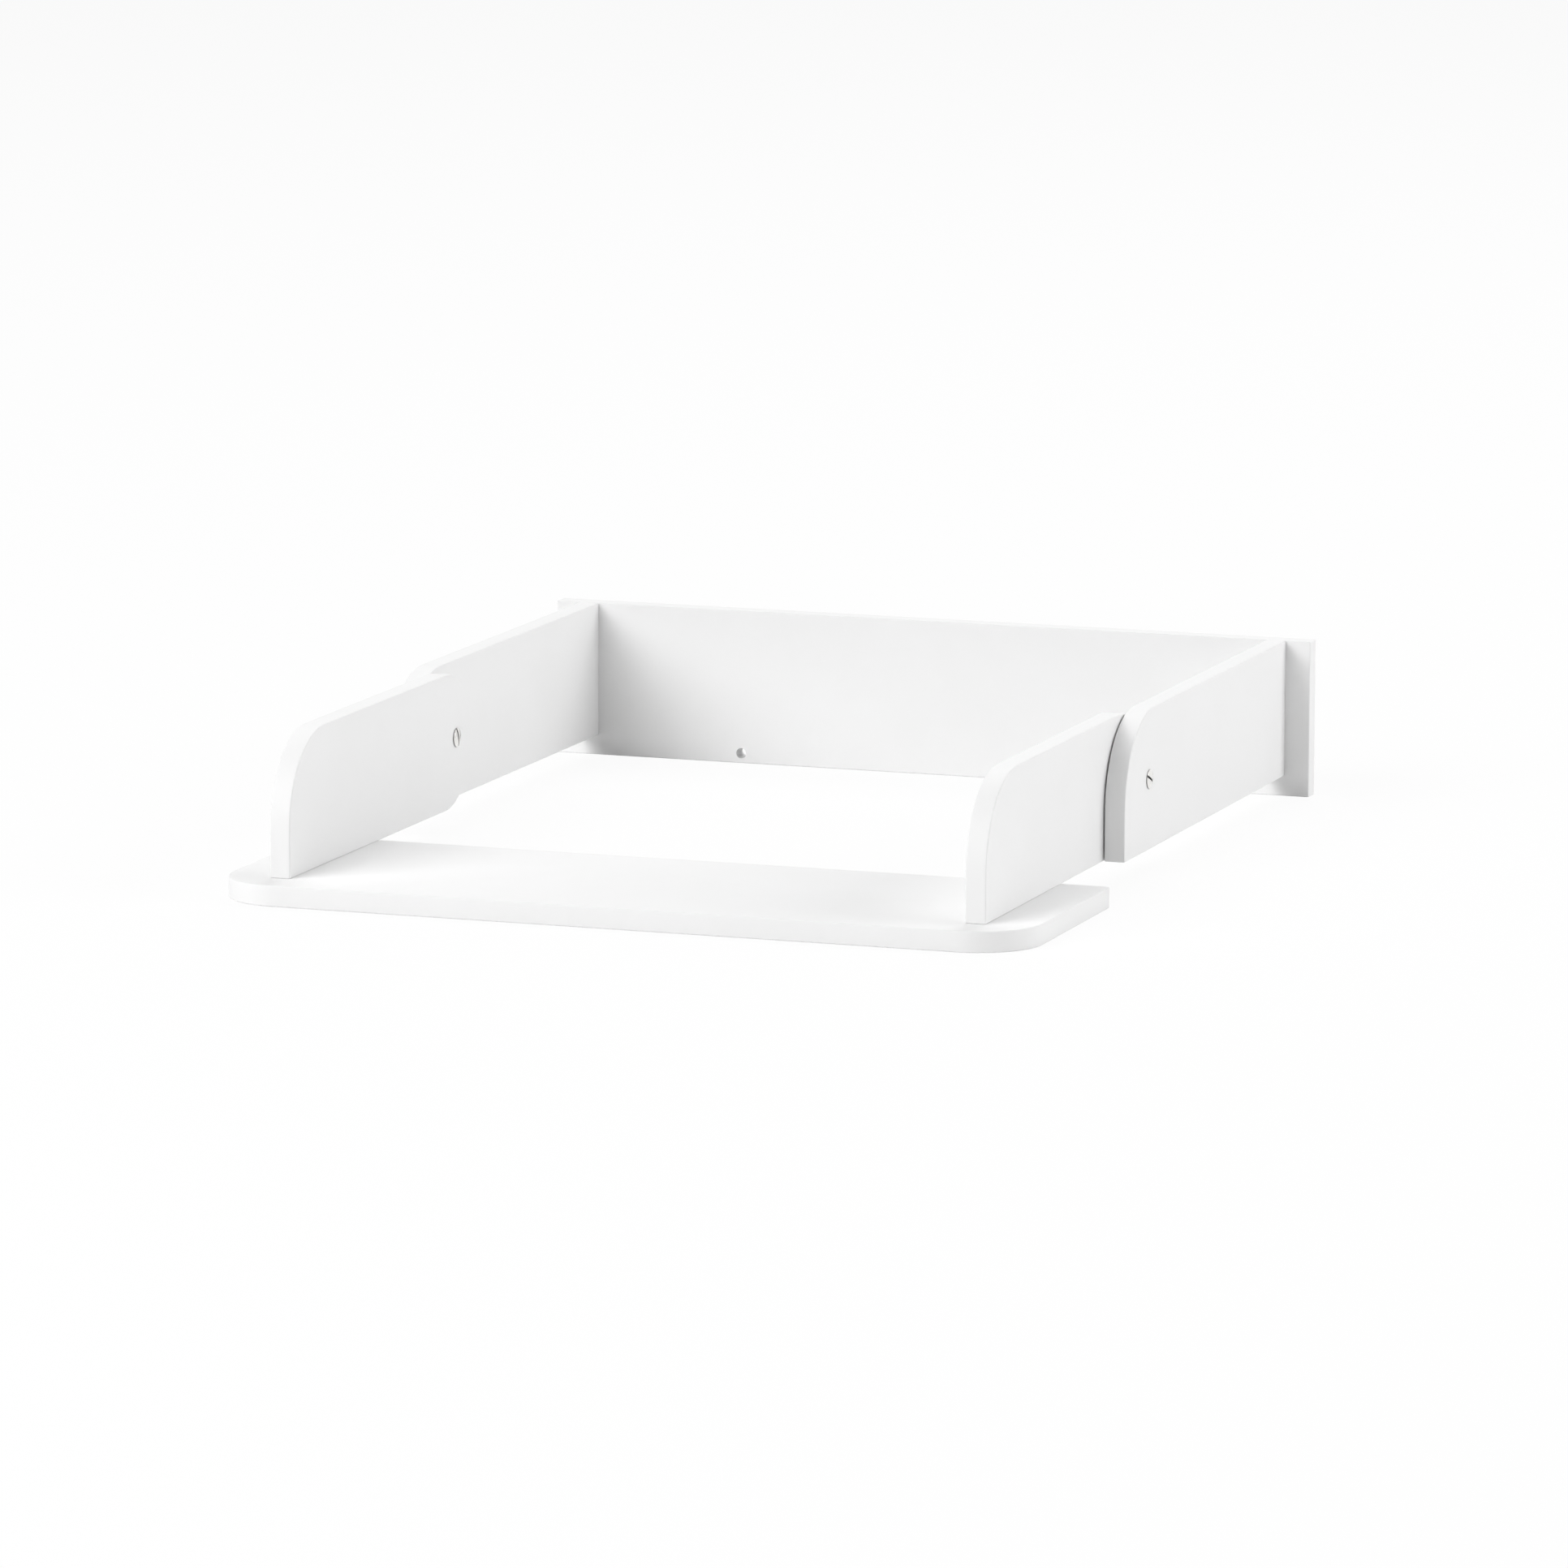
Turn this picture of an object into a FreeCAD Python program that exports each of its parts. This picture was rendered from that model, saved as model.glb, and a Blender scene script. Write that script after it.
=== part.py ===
import FreeCAD, Part
import math
import os

# Folding changing top: a rear frame that is fixed to a dresser, and a front frame that turns over onto it.
# Millimetres, +Z up, front towards -Y, origin below the middle of the part at its lowest level.

# Boards
board = 16.0  # thickness of every board
overall_width = 633.0  # back board and shelf, end to end
side_overhang = 20.0  # back board and shelf past the rear sides' outer faces
side_height = 108.0  # rear sides
front_side_drop = 2.0  # tops of the front sides below the tops of the rear sides
rear_side_length = 425.0
back_drop = 16.0  # back board below the undersides of the sides
shelf_depth = 212.0
shelf_lip = 30.0  # shelf ahead of the front sides
side_corner_radius = 70.0  # upper front corner of every side
shelf_corner_radius = 50.0
edge_round = 1.0  # sanded edges of every board

# Fold
pivot_inset = 61.0  # pivot axis behind the rear sides' front ends
round_end_reach = 31.0  # front sides' round rear end, behind the pivot axis
folded_back_gap = 20.0  # front sides' ends to the back board when folded
fold_clearance = 0.4  # shelf above the rear sides when folded

# Pivot sleeve, bolt and washer
barrel_diameter = 8.0
thread_diameter = 6.0
sleeve_web = 5.0  # solid length of the barrel behind its threaded bore
head_diameter = 15.0
head_rim = 0.8
head_dome = 1.0
slot_width = 1.8  # screwdriver slot right across the head
slot_depth = 1.3  # below the top of the dome
sleeve_slot_turn = 26.0  # degrees from level, where each was last tightened
bolt_slot_turn = 75.0
washer_diameter = 24.0
washer_thickness = 1.0
barrel_setback = 1.0  # barrel short of the front side's inner face
running_clearance = 0.05  # radial, barrel in the sides and the washer
slide_clearance = 0.1  # between flat faces that turn on each other

# Screws and dowels
screw_head_diameter = 10.0
screw_shank_diameter = 7.0
screw_core_diameter = 5.0
screw_grip = 34.0  # screw length in the board that it holds
screw_socket = 4.0  # hexagon across flats
screw_socket_depth = 2.6
screw_clearance = 0.1
pilot_room = 1.5  # hole past a screw's point or a dowel's end
dowel_diameter = 8.0
dowel_length = 30.0
dowel_seat = 10.0  # dowel length in the face of the outer board
dowel_chamfer = 1.0
dowel_clearance = 0.05
back_screw_margin = 17.0  # from the sides' lower and upper edges
back_dowel_margin = 37.0
shelf_screw_margin = 28.0  # from the shelf's rear edge and the front sides' front ends
shelf_dowel_margin = 60.0

# Fixing holes in the back board, for screws into the dresser's rear edge
fixing_hole_diameter = 8.5
fixing_hole_spacing = 317.0
fixing_hole_rise = 8.0  # centre above the back board's lower edge

# Levels and distances that follow from the sizes above
pivot_distance = rear_side_length - pivot_inset
front_side_end = 2 * pivot_distance - folded_back_gap
shelf_front = front_side_end + shelf_lip
shelf_rear = shelf_front - shelf_depth
back_face = (shelf_front + board) / 2 - board
side_bottom = back_drop
side_top = side_bottom + side_height
front_side_top = side_top - front_side_drop
pivot_level = side_bottom + (side_height + fold_clearance) / 2
pivot_place = back_face - pivot_distance
rear_outer = overall_width / 2 - side_overhang
rear_inner = rear_outer - board
front_outer = rear_inner - washer_thickness - slide_clearance
front_inner = front_outer - board
barrel_length = rear_outer - front_inner - barrel_setback
bore_depth = barrel_length - sleeve_web
shank_length = slide_clearance + barrel_setback + bore_depth - pilot_room

X_AXIS = FreeCAD.Vector(1, 0, 0)
Y_AXIS = FreeCAD.Vector(0, 1, 0)
Z_AXIS = FreeCAD.Vector(0, 0, 1)
SIDES = {"left": -1, "right": 1}


def line(start, end):
    return Part.LineSegment(start, end).toShape()


def arc(start, middle, end):
    return Part.Arc(start, middle, end).toShape()


def slab(edges, thickness):
    """Solid between a closed flat outline and its copy moved by the thickness vector."""
    return Part.Face(Part.Wire(edges)).extrude(thickness)


def round_corner(centre, radius, first, second):
    """Quarter arc about centre, from the first unit direction to the second."""
    diagonal = (first + second).normalize()
    return arc(centre + first * radius, centre + diagonal * radius, centre + second * radius)


def is_sharp(solid, edge):
    """True where the two faces at an edge meet at an angle and not smoothly."""
    middle = edge.valueAt((edge.FirstParameter + edge.LastParameter) / 2)
    first, second = solid.ancestorsOfType(edge, Part.Face)
    normals = [face.normalAt(*face.Surface.parameter(middle)) for face in (first, second)]
    return normals[0].getAngle(normals[1]) > math.radians(5)


def sanded(solid):
    """The board with its sharp edges rounded."""
    return solid.makeFillet(edge_round, [edge for edge in solid.Edges if is_sharp(solid, edge)])


def placed(solid, seat, outward):
    """The solid with its own +Z turned to outward and its own origin at seat."""
    moved = solid.copy()
    moved.Placement = FreeCAD.Placement(seat, FreeCAD.Rotation(Z_AXIS, outward))
    return moved


def turned(corners):
    """Solid of revolution about +Z from its (radius, height) corners, the first and last on the axis."""
    points = [FreeCAD.Vector(radius, 0, height) for radius, height in corners]
    face = Part.Face(Part.makePolygon(points + points[:1]))
    return face.revolve(FreeCAD.Vector(), Z_AXIS, 360)


def drilled(x, y, z, axis, diameter, depth):
    """Cutter for a round hole that starts at a point and runs along axis."""
    return Part.makeCylinder(diameter / 2, depth, FreeCAD.Vector(x, y, z), axis)


# Pivot hardware

def domed_head(slot_turn):
    """Low domed head on the plane Z = 0, with a slot turned by degrees from the Y axis."""
    radius = head_diameter / 2
    crown = head_rim + head_dome
    sphere = (radius ** 2 + head_dome ** 2) / (2 * head_dome)
    halfway = radius / 2
    halfway_level = crown - sphere + math.sqrt(sphere ** 2 - halfway ** 2)
    axis_foot = FreeCAD.Vector()
    rim_foot = FreeCAD.Vector(radius, 0, 0)
    rim_edge = FreeCAD.Vector(radius, 0, head_rim)
    top = FreeCAD.Vector(0, 0, crown)
    outline = Part.Wire([
        line(axis_foot, rim_foot),
        line(rim_foot, rim_edge),
        arc(rim_edge, FreeCAD.Vector(halfway, 0, halfway_level), top),
        line(top, axis_foot),
    ])
    head = Part.Face(outline).revolve(FreeCAD.Vector(), Z_AXIS, 360)
    slot_foot = FreeCAD.Vector(-slot_width / 2, -head_diameter, crown - slot_depth)
    slot = Part.makeBox(slot_width, 2 * head_diameter, slot_depth, slot_foot)
    slot.rotate(axis_foot, Z_AXIS, -slot_turn)
    return head.cut(slot)


def pivot_sleeve(side):
    """Sleeve nut: head on the rear side's outer face, barrel through both sides."""
    barrel = Part.makeCylinder(barrel_diameter / 2, barrel_length, FreeCAD.Vector(0, 0, -barrel_length))
    bore = drilled(0, 0, -barrel_length, Z_AXIS, thread_diameter + 2 * running_clearance, bore_depth)
    sleeve = domed_head(sleeve_slot_turn).fuse(barrel).cut(bore).removeSplitter()
    return placed(sleeve, pivot_seat(side * rear_outer), X_AXIS * side)


def pivot_bolt(side):
    """Bolt: head on the front side's inner face, threaded shank in the sleeve."""
    shank = Part.makeCylinder(thread_diameter / 2, shank_length, FreeCAD.Vector(0, 0, -shank_length))
    bolt = domed_head(bolt_slot_turn).fuse(shank).removeSplitter()
    return placed(bolt, pivot_seat(side * (front_inner - slide_clearance)), X_AXIS * -side)


def pivot_washer(side):
    """Plain washer between the lapped sides."""
    disc = Part.makeCylinder(washer_diameter / 2, washer_thickness)
    hole = Part.makeCylinder(barrel_diameter / 2 + running_clearance, washer_thickness)
    return placed(disc.cut(hole), pivot_seat(side * rear_inner), X_AXIS * -side)


def pivot_seat(x):
    return FreeCAD.Vector(x, pivot_place, pivot_level)


def pivot_hole(x):
    """Cutter for the barrel's hole through a side that starts at x and runs towards +X."""
    return drilled(x, pivot_place, pivot_level, X_AXIS, barrel_diameter + 2 * running_clearance, board)


# Screws and dowels

def screw_form(clearance, room):
    """Countersunk joint screw with its head's top at Z = 0, or its hole when given clearance and room."""
    head = screw_head_diameter / 2 + clearance
    shank = screw_shank_diameter / 2 + clearance
    core = screw_core_diameter / 2 + clearance
    end = board + screw_grip + room
    return turned([(0, 0), (head, 0), (shank, shank - head), (shank, -board), (core, -board),
                   (core, core - end), (0, -end)])


def joint_screw():
    """Joint screw with a hexagon socket in its head."""
    corner = FreeCAD.Vector(screw_socket / math.sqrt(3), 0, -screw_socket_depth)
    points = [FreeCAD.Rotation(Z_AXIS, 60 * k).multVec(corner) for k in range(6)]
    socket = Part.Face(Part.makePolygon(points + points[:1])).extrude(Z_AXIS * screw_socket_depth)
    return screw_form(0, 0).cut(socket)


def screw_hole():
    return screw_form(screw_clearance, pilot_room)


def joint_dowel():
    """Dowel with chamfered ends, across the joint plane Z = 0."""
    radius = dowel_diameter / 2
    end = radius - dowel_chamfer
    low = dowel_seat - dowel_length
    return turned([(0, low), (end, low), (radius, low + dowel_chamfer), (radius, dowel_seat - dowel_chamfer),
                   (end, dowel_seat), (0, dowel_seat)])


def dowel_hole():
    """Cutter for a dowel's two blind holes, with glue room past its longer end."""
    radius = dowel_diameter / 2 + dowel_clearance
    depth = dowel_length + pilot_room
    return Part.makeCylinder(radius, depth, FreeCAD.Vector(0, 0, dowel_seat - depth))


def group(form, seats, outward):
    """Copies of a form, one at each seat."""
    return [placed(form, seat, outward) for seat in seats]


def back_seats(side, margin, y):
    """Seats for one rear side's fasteners, margin in from the side's lower and upper edges."""
    x = side * (rear_outer - board / 2)
    return [FreeCAD.Vector(x, y, level) for level in (side_bottom + margin, side_top - margin)]


def shelf_seats(side, margin, z):
    """Seats for one front side's fasteners, margin in from the shelf's rear edge and the side's front end."""
    x = side * (front_outer - board / 2)
    return [FreeCAD.Vector(x, back_face - away, z) for away in (shelf_rear + margin, front_side_end - margin)]


def back_fasteners(side, screw, dowel):
    """Screws from behind the back board, and dowels across the joint, for one rear side."""
    screws = group(screw, back_seats(side, back_screw_margin, back_face + board), Y_AXIS)
    dowels = group(dowel, back_seats(side, back_dowel_margin, back_face), Y_AXIS)
    return screws, dowels


def shelf_fasteners(side, screw, dowel):
    """Screws from under the shelf, and dowels across the joint, for one front side."""
    screws = group(screw, shelf_seats(side, shelf_screw_margin, side_bottom - board), -Z_AXIS)
    dowels = group(dowel, shelf_seats(side, shelf_dowel_margin, side_bottom), -Z_AXIS)
    return screws, dowels


def back_holes(side):
    """Cutters for one rear side's fasteners."""
    screws, dowels = back_fasteners(side, screw_hole(), dowel_hole())
    return screws + dowels


def shelf_holes(side):
    """Cutters for one front side's fasteners."""
    screws, dowels = shelf_fasteners(side, screw_hole(), dowel_hole())
    return screws + dowels


# Boards

def rear_side(side):
    """Rear side: square, with a large round on its upper front corner."""
    x = min(side * rear_outer, side * rear_inner)
    front = back_face - rear_side_length
    centre = FreeCAD.Vector(x, front + side_corner_radius, side_top - side_corner_radius)
    corner = round_corner(centre, side_corner_radius, -Y_AXIS, Z_AXIS)
    low_front = FreeCAD.Vector(x, front, side_bottom)
    low_back = FreeCAD.Vector(x, back_face, side_bottom)
    high_back = FreeCAD.Vector(x, back_face, side_top)
    solid = slab([
        line(low_back, low_front),
        line(low_front, corner.firstVertex().Point),
        corner,
        line(corner.lastVertex().Point, high_back),
        line(high_back, low_back),
    ], X_AXIS * board)
    return sanded(solid).cut(back_holes(side) + [pivot_hole(x)])


def front_side(side):
    """Front side: a full round rear end, and a large round on its upper front corner."""
    x = min(side * front_outer, side * front_inner)
    front = back_face - front_side_end
    end_radius = (front_side_top - side_bottom) / 2
    round_place = pivot_place + round_end_reach - end_radius
    centre = FreeCAD.Vector(x, front + side_corner_radius, front_side_top - side_corner_radius)
    corner = round_corner(centre, side_corner_radius, -Y_AXIS, Z_AXIS)
    low_front = FreeCAD.Vector(x, front, side_bottom)
    low_round = FreeCAD.Vector(x, round_place, side_bottom)
    end_round = FreeCAD.Vector(x, round_place + end_radius, side_bottom + end_radius)
    high_round = FreeCAD.Vector(x, round_place, front_side_top)
    solid = slab([
        line(low_round, low_front),
        line(low_front, corner.firstVertex().Point),
        corner,
        line(corner.lastVertex().Point, high_round),
        arc(high_round, end_round, low_round),
    ], X_AXIS * board)
    return sanded(solid).cut(shelf_holes(side) + [pivot_hole(x)])


def back_board():
    """Back board with two fixing holes in the strip that hangs behind the dresser."""
    solid = Part.makeBox(overall_width, board, side_top, FreeCAD.Vector(-overall_width / 2, back_face, 0))
    cutters = [drilled(side * fixing_hole_spacing / 2, back_face, fixing_hole_rise, Y_AXIS,
                       fixing_hole_diameter, board) for side in SIDES.values()]
    for side in SIDES.values():
        cutters += back_holes(side)
    return sanded(solid).cut(cutters)


def front_shelf():
    """Shelf with round front corners and square rear corners."""
    level = side_bottom - board
    half = overall_width / 2
    front = back_face - shelf_front
    rear = back_face - shelf_rear
    corners = {side: round_corner(FreeCAD.Vector(side * (half - shelf_corner_radius),
                                                 front + shelf_corner_radius, level),
                                  shelf_corner_radius, X_AXIS * side, -Y_AXIS) for side in SIDES.values()}
    left, right = corners[SIDES["left"]], corners[SIDES["right"]]
    rear_left = FreeCAD.Vector(-half, rear, level)
    rear_right = FreeCAD.Vector(half, rear, level)
    solid = slab(Part.sortEdges([
        line(rear_left, rear_right),
        line(rear_right, right.firstVertex().Point),
        right,
        line(right.lastVertex().Point, left.lastVertex().Point),
        left,
        line(left.firstVertex().Point, rear_left),
    ])[0], Z_AXIS * board)
    cutters = []
    for side in SIDES.values():
        cutters += shelf_holes(side)
    return sanded(solid).cut(cutters)


def all_pieces():
    """Every piece by its name; a group of fasteners is a compound of separate solids."""
    pieces = {"back_board": back_board(), "front_shelf": front_shelf()}
    for name, side in SIDES.items():
        back_screws, back_dowels = back_fasteners(side, joint_screw(), joint_dowel())
        shelf_screws, shelf_dowels = shelf_fasteners(side, joint_screw(), joint_dowel())
        pieces.update({
            f"{name}_rear_side": rear_side(side),
            f"{name}_front_side": front_side(side),
            f"{name}_pivot_sleeve": pivot_sleeve(side),
            f"{name}_pivot_bolt": pivot_bolt(side),
            f"{name}_pivot_washer": pivot_washer(side),
            f"{name}_back_screws": Part.makeCompound(back_screws),
            f"{name}_back_dowels": Part.makeCompound(back_dowels),
            f"{name}_shelf_screws": Part.makeCompound(shelf_screws),
            f"{name}_shelf_dowels": Part.makeCompound(shelf_dowels),
        })
    return pieces


os.makedirs("parts", exist_ok=True)
for node, shape in all_pieces().items():
    print(node, "valid" if shape.isValid() else "not valid", len(shape.Solids), round(shape.Volume))
    shape.exportStep(os.path.join("parts", node + ".step"))
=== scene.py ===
"""Looks of a folding changing top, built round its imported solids.

The six boards keep their solids and get a satin lacquer. The pivots, screws, dowels and washers are worked
out afresh as surfaces, with the slots, threads, flutes and eased rims that the real ones have.
Lengths are metres in the part's own frame: +Z up, front towards -Y.
"""

import logging
import math
from abc import ABC, abstractmethod
from dataclasses import dataclass
from enum import Enum

import bpy
import numpy as np
from bpy.types import ID, Material, Node, NodeSocket, NodeTree, Object
from mathutils import Matrix, Vector


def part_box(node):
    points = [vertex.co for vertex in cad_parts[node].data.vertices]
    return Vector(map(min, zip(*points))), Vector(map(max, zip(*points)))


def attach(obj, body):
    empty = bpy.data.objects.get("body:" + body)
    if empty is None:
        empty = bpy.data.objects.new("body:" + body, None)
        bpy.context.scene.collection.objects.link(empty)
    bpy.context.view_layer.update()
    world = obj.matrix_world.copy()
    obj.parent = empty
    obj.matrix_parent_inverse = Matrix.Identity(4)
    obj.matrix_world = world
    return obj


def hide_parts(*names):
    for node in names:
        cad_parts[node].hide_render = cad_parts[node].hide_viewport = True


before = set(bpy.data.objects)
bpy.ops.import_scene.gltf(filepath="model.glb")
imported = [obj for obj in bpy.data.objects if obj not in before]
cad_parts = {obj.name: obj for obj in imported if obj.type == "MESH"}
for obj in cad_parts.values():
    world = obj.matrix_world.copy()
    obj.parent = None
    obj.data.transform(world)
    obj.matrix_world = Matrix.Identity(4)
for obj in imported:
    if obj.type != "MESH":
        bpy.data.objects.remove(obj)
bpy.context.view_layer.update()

Array = np.ndarray
Place = tuple[float, float, float]
Colour = tuple[float, float, float]
Settings = dict[str, object]
Inputs = dict[str | int, object]
MM = 0.001
FULL_TURN = 2 * math.pi
CREASE = math.radians(32)
WHITE = (1.0, 1.0, 1.0, 1.0)
SHUT_IN = "shut_in"
LOG = logging.getLogger("changing_top")


class Side(Enum):
    """Left and right, by the sign of X."""

    LEFT = -1
    RIGHT = 1

    @property
    def label(self) -> str:
        """The word that starts a node's name."""
        return self.name.lower()


class Axis(Enum):
    """The frame's axes, by index."""

    X = 0
    Y = 1
    Z = 2

    @property
    def label(self) -> str:
        """The letter that ends a material's name."""
        return self.name.lower()

    @property
    def unit(self) -> Array:
        """The axis as a direction."""
        return np.eye(3)[self.value]


class Body(Enum):
    """The two bodies of the fold."""

    REAR = "rear_frame"
    FRONT = "front_frame"


class MaterialSlot(Enum):
    """The record's finishes of the new pieces."""

    NICKEL = "nickel"
    ZINC = "zinc_steel"
    BEECH = "beech"
    NYLON = "nylon"


# Shader expressions

class Value:
    """A number that a node gives, for use in expressions."""

    def __init__(self, shading: "Shading", socket: NodeSocket) -> None:
        """Wraps an output socket of a node tree."""
        self.shading = shading
        self.socket = socket

    def _math(self, operation: str, first: "Value | float", second: "Value | float" = 0.0) -> "Value":
        """The result of a Math node on one or two numbers."""
        return self.shading.value("ShaderNodeMath", {"operation": operation}, {0: first, 1: second})

    def __add__(self, other: "Value | float") -> "Value":
        """Sum."""
        return self._math("ADD", self, other)

    def __sub__(self, other: "Value | float") -> "Value":
        """Difference."""
        return self._math("SUBTRACT", self, other)

    def __rsub__(self, other: float) -> "Value":
        """Difference from a plain number."""
        return self._math("SUBTRACT", other, self)

    def __mul__(self, other: "Value | float") -> "Value":
        """Product."""
        return self._math("MULTIPLY", self, other)

    def __pow__(self, other: float) -> "Value":
        """Power."""
        return self._math("POWER", self, other)

    __radd__ = __add__
    __rmul__ = __mul__

    def root(self) -> "Value":
        """Square root."""
        return self._math("SQRT", self)

    def or_more(self, other: "Value | float") -> "Value":
        """The larger of two numbers."""
        return self._math("MAXIMUM", self, other)

    def swing(self, amount: float) -> "Value":
        """A number from 0 to 1, made to swing evenly about 0 over a span of this amount."""
        return amount * (self - 0.5)

    def ease(self, low: float, high: float) -> "Value":
        """Smooth step.

        Args:
            low: Where the step starts.
            high: Where it ends.

        Returns:
            0 up to low, 1 from high, and a smooth rise between.
        """
        settings = {"interpolation_type": "SMOOTHSTEP"}
        inputs = {"Value": self, "From Min": low, "From Max": high}
        return self.shading.value("ShaderNodeMapRange", settings, inputs)


@dataclass(frozen=True)
class Pattern:
    """An uneven pattern: features to the metre, octaves, and the levels between which its tint sets in."""

    per_metre: float
    octaves: float
    levels: tuple[float, float] = (0.0, 1.0)


class Shading:
    """A node tree, with one method that adds any node."""

    def __init__(self, tree: NodeTree) -> None:
        """Takes a material's or the world's node tree and empties it."""
        self.tree = tree
        self.tree.nodes.clear()

    def node(self, kind: str, settings: Settings | None = None, inputs: Inputs | None = None) -> Node:
        """Adds a node.

        Args:
            kind: The node's type.
            settings: The node's own properties, which are set first.
            inputs: A value, a Value or a socket for each named or numbered input.

        Returns:
            The new node.
        """
        made = self.tree.nodes.new(kind)
        for name, setting in (settings or {}).items():
            setattr(made, name, setting)
        for key, given in (inputs or {}).items():
            source = given.socket if isinstance(given, Value) else given
            if isinstance(source, NodeSocket):
                self.tree.links.new(source, made.inputs[key])
            else:
                made.inputs[key].default_value = source
        return made

    def value(self, kind: str, settings: Settings | None = None, inputs: Inputs | None = None,
              output: str | int = 0) -> Value:
        """A number from one of a new node's outputs."""
        return Value(self, self.node(kind, settings, inputs).outputs[output])

    def place(self) -> NodeSocket:
        """The point's place in the piece's own frame."""
        return self.node("ShaderNodeTexCoord").outputs["Object"]

    def direction(self) -> NodeSocket:
        """The surface's direction in the piece's own frame."""
        return self.node("ShaderNodeTexCoord").outputs["Normal"]

    def along(self, vector: NodeSocket, axis: Axis) -> Value:
        """The part of a vector along an axis."""
        return self.value("ShaderNodeSeparateXYZ", None, {"Vector": vector}, axis.value)

    def drawn_out(self, place: NodeSocket, axis: Axis, share: float) -> NodeSocket:
        """A place shrunk along an axis by a share, so that a pattern read there is drawn out."""
        scale = tuple(1.0 - share * axis.unit)
        return self.node("ShaderNodeMapping", None, {"Vector": place, "Scale": scale}).outputs["Vector"]

    def noise(self, place: NodeSocket, pattern: Pattern) -> Value:
        """A pattern's noise at a place, from 0 to 1."""
        inputs = {"Vector": place, "Scale": pattern.per_metre, "Detail": pattern.octaves}
        return self.value("ShaderNodeTexNoise", None, inputs, "Fac")

    def line_noise(self, distance: Value, pattern: Pattern) -> Value:
        """A pattern's noise at a distance along a line, from 0 to 1."""
        inputs = {"W": distance, "Scale": pattern.per_metre, "Detail": pattern.octaves}
        return self.value("ShaderNodeTexNoise", {"noise_dimensions": "1D"}, inputs, "Fac")

    def shut_in(self) -> Value:
        """How shut in the point is, as the piece's mesh says."""
        return self.value("ShaderNodeAttribute", {"attribute_name": SHUT_IN}, None, "Fac")

    def tint(self, share: Value, first: Colour | NodeSocket, second: Colour) -> NodeSocket:
        """A colour between two.

        Args:
            share: How much of the second colour there is.
            first: Colour at 0, plain or from a node.
            second: Colour at 1.

        Returns:
            The mixed colour.
        """
        start = (*first, 1.0) if isinstance(first, tuple) else first
        inputs = {0: share, 6: start, 7: (*second, 1.0)}
        return self.node("ShaderNodeMix", {"data_type": "RGBA"}, inputs).outputs[2]

    def relief(self, height: Value, depth: float) -> NodeSocket:
        """A surface direction bent by a height from 0 to 1 that spans this depth."""
        return self.node("ShaderNodeBump", None, {"Height": height, "Distance": depth}).outputs["Normal"]

    def seen_direct(self) -> Value:
        """1 for rays that show a surface as it is to the eye, in a mirror or through glass, else 0.

        Returns:
            The larger of the three rays' marks.
        """
        path = self.node("ShaderNodeLightPath")
        camera, glossy, through = (Value(self, path.outputs[name]) for name in
                                   ("Is Camera Ray", "Is Glossy Ray", "Is Transmission Ray"))
        return camera.or_more(glossy).or_more(through)

    def finish(self, shader: Node, output: str = "ShaderNodeOutputMaterial") -> None:
        """Links the last shader node to a new output node."""
        self.node(output, None, {"Surface": shader.outputs[0]})


def new_material(name: str) -> tuple[Material, Shading]:
    """An empty material.

    Args:
        name: Its name.

    Returns:
        The material and its node tree.
    """
    material = bpy.data.materials.new(name)
    material.use_nodes = True
    return material, Shading(material.node_tree)


# Finishes

class Finish(ABC):
    """A finish that one Principled shader gives."""

    @property
    @abstractmethod
    def name(self) -> str:
        """The material's name."""

    @abstractmethod
    def inputs(self, shading: Shading, place: NodeSocket) -> Inputs:
        """What goes into the shader.

        Args:
            shading: The material's node tree.
            place: The point's place in the piece's own frame.

        Returns:
            The shader's inputs, by name.
        """

    def material(self) -> Material:
        """Builds the finish.

        Returns:
            The material.
        """
        material, shading = new_material(self.name)
        inputs = self.inputs(shading, shading.place())
        shading.finish(shading.node("ShaderNodeBsdfPrincipled", None, inputs))
        return material


@dataclass(frozen=True)
class SatinLacquer(Finish):
    """White satin lacquer on a board: a fine orange peel, faint clouds and thinner paint on the arrises."""

    thickness: Axis
    face: Colour = (0.870, 0.870, 0.870)
    cloud: Colour = (0.862, 0.862, 0.861)
    arris: Colour = (0.845, 0.844, 0.840)
    arris_share: float = 0.6
    roughness: float = 0.58
    cloud_swing: float = 0.08
    peel_swing: float = 0.06
    arris_rise: float = 0.05
    peel_depth: float = 0.02 * MM
    cloud_pattern: Pattern = Pattern(14.0, 3.0, (0.35, 0.7))
    peel_pattern: Pattern = Pattern(520.0, 1.5)

    @property
    def name(self) -> str:
        """The material's name."""
        return f"satin_lacquer_{self.thickness.label}"

    def inputs(self, shading: Shading, place: NodeSocket) -> Inputs:
        """What makes the lacquer.

        The arris share is 4 n^2 (1 - n^2), where n is the direction's part along the board's thickness: 0 on
        the faces and on the edge bands, 1 half-way round an eased edge.

        Args:
            shading: The material's node tree.
            place: The point's place in the piece's own frame.

        Returns:
            The shader's inputs, by name.
        """
        facing = shading.along(shading.direction(), self.thickness) ** 2.0
        arris = 4.0 * facing * (1.0 - facing)
        clouds = shading.noise(place, self.cloud_pattern)
        peel = shading.noise(place, self.peel_pattern)
        paint = shading.tint(clouds.ease(*self.cloud_pattern.levels), self.face, self.cloud)
        uneven = self.roughness + clouds.swing(self.cloud_swing) + peel.swing(self.peel_swing)
        return {
            "Base Color": shading.tint(arris * self.arris_share, paint, self.arris),
            "Roughness": uneven + self.arris_rise * arris,
            "Normal": shading.relief(peel, self.peel_depth),
        }


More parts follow.
